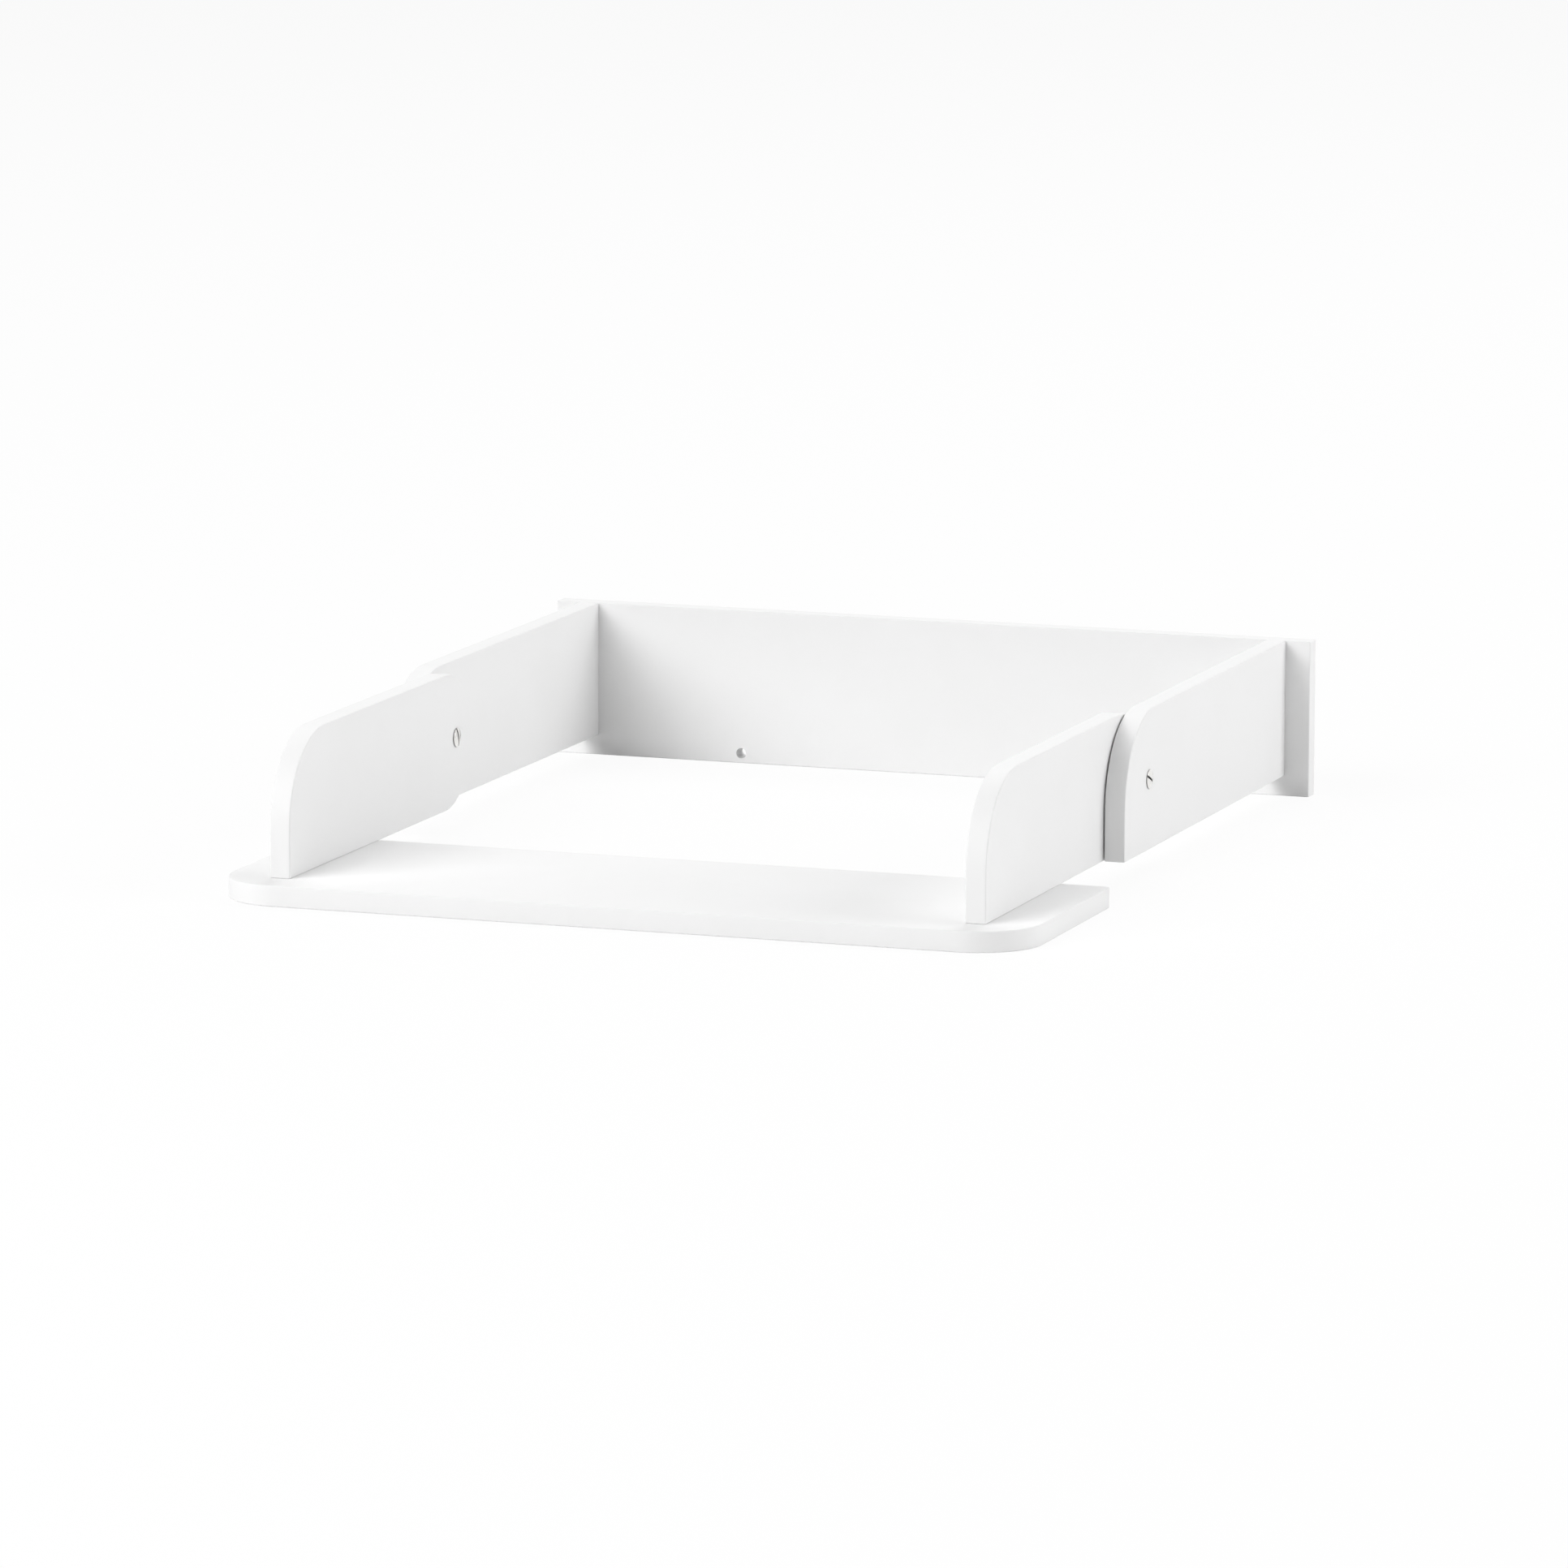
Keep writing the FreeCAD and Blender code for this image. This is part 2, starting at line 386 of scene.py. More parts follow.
@dataclass(frozen=True)
class NickelPlate(Finish):
    """Nickel plate on a turned head: fine rings about the pivot's axis, and painted shade where it is shut
    in.
    """

    axis_place: tuple[float, float]
    bright: Colour = (0.84, 0.83, 0.81)
    dull: Colour = (0.77, 0.76, 0.74)
    # Painted shade: a dark colour in the slot and down the rim, standing in for shade and the darker
    # reflection there.
    tarnish: Colour = (0.06, 0.06, 0.06)
    roughness: float = 0.2
    ring_swing: float = 0.1
    stain_swing: float = 0.12
    tarnish_rise: float = 0.25
    ring_depth: float = 0.006 * MM
    ring_pattern: Pattern = Pattern(4200.0, 1.0)
    stain_pattern: Pattern = Pattern(350.0, 3.0, (0.45, 0.75))

    @property
    def name(self) -> str:
        """The material's name."""
        return "nickel_plate"

    def inputs(self, shading: Shading, place: NodeSocket) -> Inputs:
        """What makes the plate: its rings are noise along the distance from the axis.

        Args:
            shading: The material's node tree.
            place: The point's place in the piece's own frame.

        Returns:
            The shader's inputs, by name.
        """
        across = shading.along(place, Axis.Y) - self.axis_place[0]
        above = shading.along(place, Axis.Z) - self.axis_place[1]
        marks = shading.line_noise((across ** 2.0 + above ** 2.0).root(), self.ring_pattern)
        stain = shading.noise(place, self.stain_pattern)
        shut_in = shading.shut_in()
        plate = shading.tint(stain.ease(*self.stain_pattern.levels), self.bright, self.dull)
        uneven = self.roughness + marks.swing(self.ring_swing) + stain.swing(self.stain_swing)
        return {
            # Painted shade in the slot and down the rim, by how shut in each point is.
            "Base Color": shading.tint(shut_in, plate, self.tarnish),
            "Metallic": 1.0,
            "Roughness": uneven + self.tarnish_rise * shut_in,
            "Normal": shading.relief(marks, self.ring_depth),
        }


@dataclass(frozen=True)
class ZincPlate(Finish):
    """Bright zinc plate on a joint screw, with a cloudy bloom and painted shade in its socket."""

    bright: Colour = (0.66, 0.68, 0.70)
    bloom: Colour = (0.56, 0.56, 0.55)
    # Painted shade for the socket.
    painted_socket_shade: Colour = (0.07, 0.07, 0.07)
    roughness: float = 0.32
    bloom_swing: float = 0.2
    grain_depth: float = 0.006 * MM
    bloom_pattern: Pattern = Pattern(420.0, 4.0, (0.4, 0.7))
    grain_pattern: Pattern = Pattern(5200.0, 2.0)

    @property
    def name(self) -> str:
        """The material's name."""
        return "zinc_plate"

    def inputs(self, shading: Shading, place: NodeSocket) -> Inputs:
        """What makes the plate.

        Args:
            shading: The material's node tree.
            place: The point's place in the piece's own frame.

        Returns:
            The shader's inputs, by name.
        """
        bloom = shading.noise(place, self.bloom_pattern)
        grain = shading.noise(place, self.grain_pattern)
        plate = shading.tint(bloom.ease(*self.bloom_pattern.levels), self.bright, self.bloom)
        return {
            # Painted shade in the socket, by how shut in each point is.
            "Base Color": shading.tint(shading.shut_in(), plate, self.painted_socket_shade),
            "Metallic": 1.0,
            "Roughness": self.roughness + bloom.swing(self.bloom_swing),
            "Normal": shading.relief(grain, self.grain_depth),
        }


@dataclass(frozen=True)
class TurnedBeech(Finish):
    """Bare beech with its grain along one axis and short dark rays."""

    grain: Axis
    pale: Colour = (0.72, 0.54, 0.37)
    brown: Colour = (0.56, 0.38, 0.23)
    ray: Colour = (0.36, 0.22, 0.12)
    roughness: float = 0.62
    fibre_swing: float = 0.2
    fibre_depth: float = 0.05 * MM
    fibre_draw: float = 0.94
    ray_draw: float = 0.8
    fibre_pattern: Pattern = Pattern(1500.0, 3.0, (0.3, 0.7))
    ray_pattern: Pattern = Pattern(2600.0, 0.0, (0.66, 0.74))

    @property
    def name(self) -> str:
        """The material's name."""
        return f"turned_beech_{self.grain.label}"

    def inputs(self, shading: Shading, place: NodeSocket) -> Inputs:
        """What makes the wood: fibres are noise drawn out along the grain, rays a sparser, shorter noise.

        Args:
            shading: The material's node tree.
            place: The point's place in the piece's own frame.

        Returns:
            The shader's inputs, by name.
        """
        fibre = shading.noise(shading.drawn_out(place, self.grain, self.fibre_draw), self.fibre_pattern)
        rays = shading.noise(shading.drawn_out(place, self.grain, self.ray_draw), self.ray_pattern)
        wood = shading.tint(fibre.ease(*self.fibre_pattern.levels), self.pale, self.brown)
        return {
            "Base Color": shading.tint(rays.ease(*self.ray_pattern.levels), wood, self.ray),
            "Roughness": self.roughness + fibre.swing(self.fibre_swing),
            "Normal": shading.relief(fibre, self.fibre_depth),
        }


@dataclass(frozen=True)
class MilkyNylon(Finish):
    """Natural nylon, milky and a little uneven."""

    milk: Colour = (0.80, 0.79, 0.74)
    amber: Colour = (0.74, 0.71, 0.63)
    roughness: float = 0.4
    skin_swing: float = 0.15
    skin_depth: float = 0.01 * MM
    milkiness: float = 0.15
    haze_pattern: Pattern = Pattern(160.0, 3.0, (0.35, 0.7))
    skin_pattern: Pattern = Pattern(2400.0, 2.0)

    @property
    def name(self) -> str:
        """The material's name."""
        return "milky_nylon"

    def inputs(self, shading: Shading, place: NodeSocket) -> Inputs:
        """What makes the nylon.

        Args:
            shading: The material's node tree.
            place: The point's place in the piece's own frame.

        Returns:
            The shader's inputs, by name.
        """
        haze = shading.noise(place, self.haze_pattern)
        skin = shading.noise(place, self.skin_pattern)
        return {
            "Base Color": shading.tint(haze.ease(*self.haze_pattern.levels), self.milk, self.amber),
            "Roughness": self.roughness + skin.swing(self.skin_swing),
            "Normal": shading.relief(skin, self.skin_depth),
            "Subsurface Weight": self.milkiness,
        }


# Surfaces

def in_scene(name: str, data: ID) -> Object:
    """A new object in the scene, at the origin.

    Args:
        name: Its name.
        data: Its mesh, lamp or camera.

    Returns:
        The object.
    """
    made = bpy.data.objects.new(name, data)
    bpy.context.scene.collection.objects.link(made)
    return made


@dataclass(frozen=True)
class Shell:
    """Closed surfaces: points, and faces of four and of three corners that turn outwards.

    Each point may also have a share from 0 to 1 that says how shut in it is, as down in a slot or a socket.
    """

    points: Array
    quads: Array
    triangles: Array
    shut_in: Array | None = None

    def placed(self, turn: Array, seats: Array) -> "Shell":
        """Copies of the shell, one at each seat.

        Args:
            turn: The directions of the shell's own X, Y and Z, one in each row.
            seats: Where its own origin goes, one place in each row.

        Returns:
            The copies as one shell.
        """
        points = (self.points @ turn)[None] + seats[:, None]
        shift = np.arange(len(seats))[:, None, None] * len(self.points)
        shut_in = None if self.shut_in is None else np.tile(self.shut_in, len(seats))
        return Shell(points.reshape(-1, 3), (self.quads[None] + shift).reshape(-1, 4),
                     (self.triangles[None] + shift).reshape(-1, 3), shut_in)

    def piece(self, name: str) -> Object:
        """Puts the shell into a mesh object at the origin, smooth but for its creases.

        Args:
            name: The object's name.

        Returns:
            The object.
        """
        mesh = bpy.data.meshes.new(name)
        mesh.from_pydata(self.points, [], self.quads.tolist() + self.triangles.tolist())
        mesh.polygons.foreach_set("use_smooth", np.ones(len(mesh.polygons), dtype=bool))
        mesh.set_sharp_from_angle(angle=CREASE)
        if self.shut_in is not None:
            mesh.attributes.new(SHUT_IN, "FLOAT", "POINT").data.foreach_set("value", self.shut_in)
        return in_scene(name, mesh)


def numbered(grid: Array, first: int = 0) -> Array:
    """Point numbers of a grid, counted row by row.

    Args:
        grid: Points by row and column.
        first: The first point's number.

    Returns:
        Numbers by row and column.
    """
    return first + np.arange(grid.shape[0] * grid.shape[1]).reshape(grid.shape[:2])


def band(index: Array) -> Array:
    """Quads between the rows of a grid of point numbers, whose last column joins its first.

    Args:
        index: Point numbers, one ring in each row, from the top of the shape down.

    Returns:
        Four point numbers in each row.
    """
    after = np.roll(index, -1, axis=1)
    return np.stack([index[:-1], index[1:], after[1:], after[:-1]], axis=-1).reshape(-1, 4)


def fan(ring: Array, pole: int, top: bool) -> Array:
    """Triangles from a ring in to a pole.

    Args:
        ring: The ring's point numbers, anticlockwise seen from above.
        pole: The pole's point number.
        top: True where the pole faces up.

    Returns:
        Three point numbers in each row.
    """
    after = np.roll(ring, -1)
    middle = np.full_like(ring, pole)
    corners = [middle, ring, after] if top else [middle, after, ring]
    return np.stack(corners, axis=-1)


def rings(radius: Array, height: Array, angle: Array) -> Array:
    """Points of rings about the Z axis: (r cos a, r sin a, h).

    Args:
        radius: Radius by row, or by row and column.
        height: Height by row.
        angle: Angle by column.

    Returns:
        Points by row and column.
    """
    radius = radius if radius.ndim == 2 else radius[:, None] * np.ones_like(angle)
    level = np.broadcast_to(height[:, None], radius.shape)
    return np.stack([radius * np.cos(angle), radius * np.sin(angle), level], axis=-1)


def turned(grid: Array, top: float, bottom: float, shut_in: Array) -> Shell:
    """A solid over a grid of rings, closed by a pole above the first ring and one below the last.

    Args:
        grid: Points by row and column, from the top down.
        top: Height of the upper pole.
        bottom: Height of the lower pole.
        shut_in: How shut in each row is.

    Returns:
        The closed shell.
    """
    index = numbered(grid)
    poles = np.array([[0, 0, top], [0, 0, bottom]])
    triangles = [fan(index[0], index.size, True), fan(index[-1], index.size + 1, False)]
    share = np.concatenate([np.repeat(shut_in, grid.shape[1]), shut_in[[0, -1]]])
    return Shell(np.concatenate([grid.reshape(-1, 3), poles]), band(index), np.concatenate(triangles), share)


def arc(centre: tuple[float, float], radius: float, start: float, end: float, count: int) -> Array:
    """Points of a flat arc.

    Args:
        centre: Its centre, as radius and height.
        radius: Its radius.
        start: First angle in degrees, from outwards towards up.
        end: Last angle in degrees.
        count: Number of points.

    Returns:
        Radius and height in each row.
    """
    sweep = np.radians(np.linspace(start, end, count))
    return np.array(centre) + radius * np.stack([np.cos(sweep), np.sin(sweep)], axis=-1)


@dataclass(frozen=True)
class Thread:
    """A right-hand thread about the Z axis, whose flank is the way along the axis from crest to root."""

    root: float
    depth: float
    pitch: float
    flank: float
    steps: int

    def stretch(self, first: float, last: float, angle: Array) -> Array:
        """A threaded stretch, whose radius is the root's plus the depth times a ridge.

        The ridge is 1 on the crest, which runs where h / pitch - a / (2 pi) is a whole number, and falls off
        evenly over the flank. It fades out over one pitch at each end.

        Args:
            first: Height of the upper end.
            last: Height of the lower end.
            angle: Angle by column.

        Returns:
            Points by row and column.
        """
        height = np.arange(first, last, -self.pitch / self.steps)
        turns = height[:, None] / self.pitch - angle / FULL_TURN
        away = np.abs(turns - np.round(turns)) * self.pitch
        fade = np.clip(np.minimum(first - height, height - last) / self.pitch, 0, 1)[:, None]
        ridge = np.clip(1 - away / self.flank, 0, 1) * fade
        return rings(self.root + self.depth * ridge, height, angle)


def node_box(node: str) -> tuple[Array, Array]:
    """Where a node's solids are.

    Args:
        node: The node's name.

    Returns:
        Its lowest and highest corners.
    """
    low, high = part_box(node)
    return np.array(low), np.array(high)


def dressed(piece: Object, finish: Material, body: Body, node: str) -> Object:
    """Gives a new piece its finish and its place in the fold.

    Args:
        piece: The piece.
        finish: Its material.
        body: The body that carries it.
        node: The CAD node that it stands for.

    Returns:
        The piece.
    """
    piece.data.materials.append(finish)
    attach(piece, body.value)
    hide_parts(node)
    return piece


# Pivots

@dataclass(frozen=True)
class SlottedTurning(ABC):
    """A turned pivot piece: a domed head with a slot right across it, seated on Z = 0, and a round tail.

    The length is the tail's. The rim is rounded from rim_start, in degrees from outwards towards up, down to
    outwards.
    """

    head_radius: float
    length: float
    rim: float = 0.8 * MM
    dome: float = 1.0 * MM
    slot_width: float = 1.8 * MM
    slot_depth: float = 1.3 * MM
    slot_break: float = 0.12 * MM
    slot_draft: float = 0.08 * MM
    rim_round: float = 0.28 * MM
    rim_start: float = 75.0
    foot_break: float = 0.12 * MM
    # How much painted shade the rim's foot gets.
    rim_painted_shade: float = 0.9
    columns: int = 44
    floor_columns: int = 3
    column_points: int = 25
    rim_points: int = 5

    @classmethod
    def filling(cls, size: Array) -> "SlottedTurning":
        """The piece that fills a box of this size, with its axis along X."""
        return cls(head_radius=size[2] / 2, length=size[0] - cls.rim - cls.dome)

    @property
    def crown(self) -> float:
        """Height of the head's top above its seat."""
        return self.rim + self.dome

    @property
    def reach(self) -> float:
        """Radius of the crown, inside the rounded rim."""
        return self.head_radius - self.rim_round

    @property
    def edge_level(self) -> float:
        """Height of the crown's edge above the seat."""
        return float(self._dome_level(np.array(self.reach)))

    @abstractmethod
    def tail(self, angle: Array) -> tuple[Array, float]:
        """The rings below the head.

        Args:
            angle: Angle by column.

        Returns:
            Points by row and column, and the height of the pole that closes the last ring.
        """

    def _dome_level(self, radius: Array) -> Array:
        """Height of the unslotted head at a distance from its axis: a sphere through its top and its rim."""
        sphere = (self.head_radius ** 2 + self.dome ** 2) / (2 * self.dome)
        return self.crown - sphere + np.sqrt(sphere ** 2 - radius ** 2)

    def _across(self) -> tuple[Array, Array]:
        """Columns across the slot, between the two ends of the crown.

        The columns are even in angle outside the slot, with one at each broken edge, wall top and wall foot.

        Returns:
            The columns' places, and how deep each lies below the dome: 0, the break's depth, or infinity in
            the slot.
        """
        half = self.slot_width / 2
        even = -self.reach * np.cos(np.linspace(0, math.pi, self.columns)[1:])
        outer = even[even < -half - 2 * self.slot_break]
        walls = np.array([-half - self.slot_break, -half, self.slot_draft - half])
        floor = np.linspace(walls[-1], -walls[-1], self.floor_columns + 2)[1:-1]
        places = np.concatenate([outer, walls, floor, -walls[::-1], -outer[::-1]])
        inner = np.abs(places) - half
        depth = np.where(inner > -self.slot_draft / 2, self.slot_break, np.inf)
        return places, np.where(inner > self.slot_break / 2, 0.0, depth)

    def _crown(self) -> tuple[Array, Array]:
        """The top of the head, inside its rim.

        It is a grid of x across the slot and t along it, with y = t sqrt(R^2 - x^2), so the slot's walls are
        straight columns. Its height is the dome's less the column's depth, but not below the slot's floor.

        Returns:
            Points by column and by step along it, and whether each column is in the slot.
        """
        places, depth = self._across()
        x = places[:, None]
        share = np.sin(np.linspace(-math.pi / 2, math.pi / 2, self.column_points))
        y = share * np.sqrt(self.reach ** 2 - x ** 2)
        level = np.maximum(self._dome_level(np.hypot(x, y)) - depth[:, None], self.crown - self.slot_depth)
        return np.stack([np.broadcast_to(x, y.shape), y, level], axis=-1), np.isinf(depth)

    def _rim(self, edge: Array, angle: Array) -> Array:
        """The rounded rim and its broken foot.

        No point stands above the crown's edge, which drops to the slot's floor where the slot runs out.

        Args:
            edge: The points of the crown's edge.
            angle: Their angles.

        Returns:
            Points by row and column.
        """
        rounding = arc((self.reach, self.edge_level - self.rim_round), self.rim_round, self.rim_start, 0,
                       self.rim_points)
        foot = np.array([[self.head_radius, self.foot_break], [self.head_radius - self.foot_break, 0]])
        rim = rings(*np.concatenate([rounding, foot]).T, angle)
        rim[..., 2] = np.minimum(rim[..., 2], edge[:, 2])
        return rim

    def shell(self) -> Shell:
        """The whole piece as one closed shell: the crown, whose edge goes on into the rim and the tail.

        Returns:
            The shell.
        """
        crown, in_slot = self._crown()
        ends = np.array([[self.reach, 0, self.edge_level], [-self.reach, 0, self.edge_level]])
        points = np.concatenate([crown.reshape(-1, 3), ends])
        index = numbered(crown)
        right, left = index.size, index.size + 1
        edge = np.concatenate([[right], index[::-1, -1], [left], index[:, 0]])
        angle = np.arctan2(points[edge, 1], points[edge, 0])
        tail, last = self.tail(angle)
        below = np.concatenate([self._rim(points[edge], angle), tail])
        rows = numbered(below, len(points))

        quads = np.stack([index[:-1, :-1], index[1:, :-1], index[1:, 1:], index[:-1, 1:]], axis=-1)
        triangles = [
            np.stack([np.full(self.column_points - 1, left), index[0, :-1], index[0, 1:]], axis=-1),
            np.stack([np.full(self.column_points - 1, right), index[-1, 1:], index[-1, :-1]], axis=-1),
            fan(rows[-1], len(points) + rows.size, False),
        ]
        # Painted shade: the slot gets it in full; down the rounded rim it deepens, and below the rim it
        # stays the same.
        under_rim = np.clip(np.arange(len(below)) / self.rim_points, 0, 1) * self.rim_painted_shade
        shut_in = [
            np.repeat(in_slot, self.column_points),
            np.zeros(len(ends)),
            np.repeat(under_rim, len(angle)),
            under_rim[-1:],
        ]
        return Shell(
            np.concatenate([points, below.reshape(-1, 3), [[0, 0, last]]]),
            np.concatenate([quads.reshape(-1, 4), band(np.concatenate([edge[None], rows]))]),
            np.concatenate(triangles),
            np.concatenate(shut_in),
        )


@dataclass(frozen=True)
class SleeveNut(SlottedTurning):
    """The pivot's sleeve nut: a smooth barrel with a bore for the bolt."""

    barrel_radius: float = 4.0 * MM
    bore_radius: float = 3.05 * MM
    web: float = 5.0 * MM
    chamfer: float = 0.4 * MM

    def tail(self, angle: Array) -> tuple[Array, float]:
        """The barrel's wall, its end and its bore, up to the web.

        Args:
            angle: Angle by column.

        Returns:
            Points by row and column, and the height of the pole that closes the bore.
        """
        barrel, bore, end = self.barrel_radius, self.bore_radius, -self.length
        profile = np.array([
            [barrel + self.chamfer / 2, 0],
            [barrel, -self.chamfer / 2],
            [barrel, end + self.chamfer],
            [barrel - self.chamfer, end],
            [bore + self.chamfer, end],
            [bore, end + self.chamfer],
            [bore, -self.web],
        ])
        return rings(*profile.T, angle), -self.web


@dataclass(frozen=True)
class PivotBolt(SlottedTurning):
    """The pivot's bolt: a threaded shank."""

    neck: float = 1.0 * MM
    point: float = 0.8 * MM
    thread: Thread = Thread(root=2.52 * MM, depth=0.48 * MM, pitch=1.0 * MM, flank=0.5 * MM, steps=8)

    def tail(self, angle: Array) -> tuple[Array, float]:
        """The neck, the thread and the chamfered point.

        Args:
            angle: Angle by column.

        Returns:
            Points by row and column, and the height of the pole that closes the point.
        """
        root, last = self.thread.root, self.point - self.length
        neck = np.array([[root, 0], [root, -self.neck / 2]])
        point = np.array([[root, last], [root - self.point / 2, -self.length]])
        thread = self.thread.stretch(-self.neck, last, angle)
        return np.concatenate([rings(*neck.T, angle), thread, rings(*point.T, angle)]), -self.length


@dataclass(frozen=True)
class RoundedWasher:
    """A flat ring about the Z axis, with rounded edges and its middle on Z = 0."""

    radius: float
    thickness: float
    hole: float = 4.05 * MM
    rounding: float = 0.35 * MM
    corner_points: int = 5
    sectors: int = 72

    @classmethod
    def filling(cls, size: Array) -> "RoundedWasher":
        """The washer that fills a box of this size, with its axis along X."""
        return cls(radius=size[2] / 2, thickness=size[0])

    def shell(self) -> Shell:
        """The washer: a rectangle with rounded corners carried round the axis.

        Returns:
            The shell.
        """
        inner, outer = self.hole + self.rounding, self.radius - self.rounding
        half = self.thickness / 2 - self.rounding
        corners = [((outer, half), 90), ((outer, -half), 0), ((inner, -half), -90), ((inner, half), -180)]
        profile = np.concatenate([arc(centre, self.rounding, start, start - 90, self.corner_points)
                                  for centre, start in corners])
        angle = np.linspace(0, FULL_TURN, self.sectors, endpoint=False)
        grid = rings(*profile.T, angle)
        index = numbered(grid)
        closed = np.concatenate([index, index[:1]])
        return Shell(grid.reshape(-1, 3), band(closed), np.empty((0, 3), dtype=int))


@dataclass(frozen=True)
class PivotJoint:
    """One side's pivot: sleeve nut, bolt and washer, all carried by the rear frame.

    The turns are the degrees that the slots lean from level.
    """

    side: Side
    sleeve_turn: float = 26.0
    bolt_turn: float = 75.0

    def node(self, name: str) -> str:
        """The CAD node of a piece on this side."""
        return f"{self.side.label}_pivot_{name}"

    def build(self, plate: Material, nylon: Material) -> list[Object]:
        """Builds and dresses the pivot: the sleeve's head faces outwards and the bolt's inwards.

        Args:
            plate: Finish of the sleeve and the bolt.
            nylon: Finish of the washer.

        Returns:
            The pieces.
        """
        outward = self.side.value
        return [
            self._turning("sleeve", SleeveNut, outward, self.sleeve_turn, plate),
            self._turning("bolt", PivotBolt, -outward, self.bolt_turn, plate),
            self._washer("washer", nylon),
        ]

    def _turning(self, name: str, kind: type[SlottedTurning], facing: int, lean: float,
                 plate: Material) -> Object:
        """A slotted piece, seated where its solid is.

        Args:
            name: The word that ends its node's name.
            kind: What it is.
            facing: Sign of the X direction that the head faces.
            lean: Degrees that the slot leans from level.
            plate: Its finish.

        Returns:
            The piece.
        """
        low, high = node_box(self.node(name))
        form = kind.filling(high - low)
        seat = (low + high) / 2
        seat[0] = (high[0] if facing > 0 else low[0]) - facing * form.crown
        slope = math.radians(lean) * facing
        head = facing * Axis.X.unit
        slot = math.cos(slope) * Axis.Y.unit - math.sin(slope) * Axis.Z.unit
        turn = np.stack([np.cross(slot, head), slot, head])
        made = form.shell().placed(turn, seat[None]).piece(f"{self.node(name)}_turned")
        return dressed(made, plate, Body.REAR, self.node(name))

    def _washer(self, name: str, nylon: Material) -> Object:
        """The washer between the lapped sides, seated where its solid is.

        Args:
            name: The word that ends its node's name.
            nylon: Its finish.

        Returns:
            The piece.
        """
        low, high = node_box(self.node(name))
        turn = np.stack([Axis.Y.unit, Axis.Z.unit, Axis.X.unit])
        shell = RoundedWasher.filling(high - low).shell()
        made = shell.placed(turn, ((low + high) / 2)[None]).piece(f"{self.node(name)}_ring")
        return dressed(made, nylon, Body.REAR, self.node(name))


# Screws and dowels

@dataclass(frozen=True)
class JointScrew:
    """A one-piece joint screw: countersunk head with a hexagon socket, plain shank and coarse thread."""

    radius: float = 5.0 * MM
    shank_radius: float = 3.5 * MM
    shank: float = 16.0 * MM
    length: float = 50.0 * MM
    socket: float = 4.0 * MM
    socket_depth: float = 2.6 * MM
    mouth_radius: float = 2.48 * MM
    edge: float = 0.18 * MM
    tip: float = 3.0 * MM
    tip_radius: float = 0.625 * MM
    # How much painted shade the socket's floor and walls get.
    floor_painted_shade: float = 1.0
    wall_painted_shade: float = 0.7
    sectors: int = 48
    seated: float = 0.0
    thread: Thread = Thread(root=2.5 * MM, depth=0.85 * MM, pitch=3.0 * MM, flank=0.55 * MM, steps=14)

    def _socket(self, angle: Array) -> Array:
        """The socket, from its floor up to its mouth.

        Its radius is its half-width over the cosine of the angle from the nearest flat, and columns stand on
        its six corners.

        Args:
            angle: Angle by column.

        Returns:
            Points by row and column.
        """
        sixth = FULL_TURN / 6
        hexagon = self.socket / 2 / np.cos(np.mod(angle, sixth) - sixth / 2)
        mouth = np.full_like(angle, self.mouth_radius)
        height = np.array([-self.socket_depth, -2 * self.edge, 0])
        return rings(np.stack([hexagon, hexagon, mouth]), height, angle)

    def shell(self) -> Shell:
        """The screw with its head's top on Z = 0: socket, head, shank, thread and point.

        Returns:
            The shell.
        """
        angle = np.linspace(0, FULL_TURN, self.sectors, endpoint=False)
        core, last = self.thread.root, self.tip - self.length
        cone = self.radius - self.shank_radius
        head = np.array([
            [self.radius - self.edge, 0],
            [self.radius, -self.edge],
            [self.shank_radius, -self.edge - cone],
            [self.shank_radius, self.edge - self.shank],
            [core, -self.shank],
        ])
        point = np.array([[core, last], [self.tip_radius, self.edge - self.length]])
        grid = np.concatenate([
            self._socket(angle),
            rings(*head.T, angle),
            self.thread.stretch(-self.shank - self.edge, last, angle),
            rings(*point.T, angle),
        ])
        # Painted shade on the socket's floor and walls, none elsewhere.
        shut_in = np.concatenate([[self.floor_painted_shade, self.wall_painted_shade], np.zeros(len(grid) - 2)])
        return turned(grid, -self.socket_depth, -self.length, shut_in)


@dataclass(frozen=True)
class FlutedDowel:
    """A beech dowel with chamfered ends and glue flutes along its length, across the joint plane Z = 0."""

    radius: float = 4.0 * MM
    length: float = 30.0 * MM
    seated: float = 10.0 * MM
    chamfer: float = 1.0 * MM
    flutes: int = 20
    flute_depth: float = 0.28 * MM
    flute_power: int = 6
    columns_per_flute: int = 6

    def shell(self) -> Shell:
        """The dowel: r = R - depth * cos(n a / 2)^power, less the chamfer at each end.

        Returns:
            The shell.
        """
        angle = np.linspace(0, FULL_TURN, self.flutes * self.columns_per_flute, endpoint=False)
        flute = self.flute_depth * np.cos(self.flutes * angle / 2) ** self.flute_power
        top, bottom = self.seated, self.seated - self.length
        height = np.array([top, top - self.chamfer, bottom + self.chamfer, bottom])
        radius = self.radius - np.array([1, 0, 0, 1])[:, None] * self.chamfer - flute
        return turned(rings(radius, height, angle), top, bottom, np.zeros_like(height))


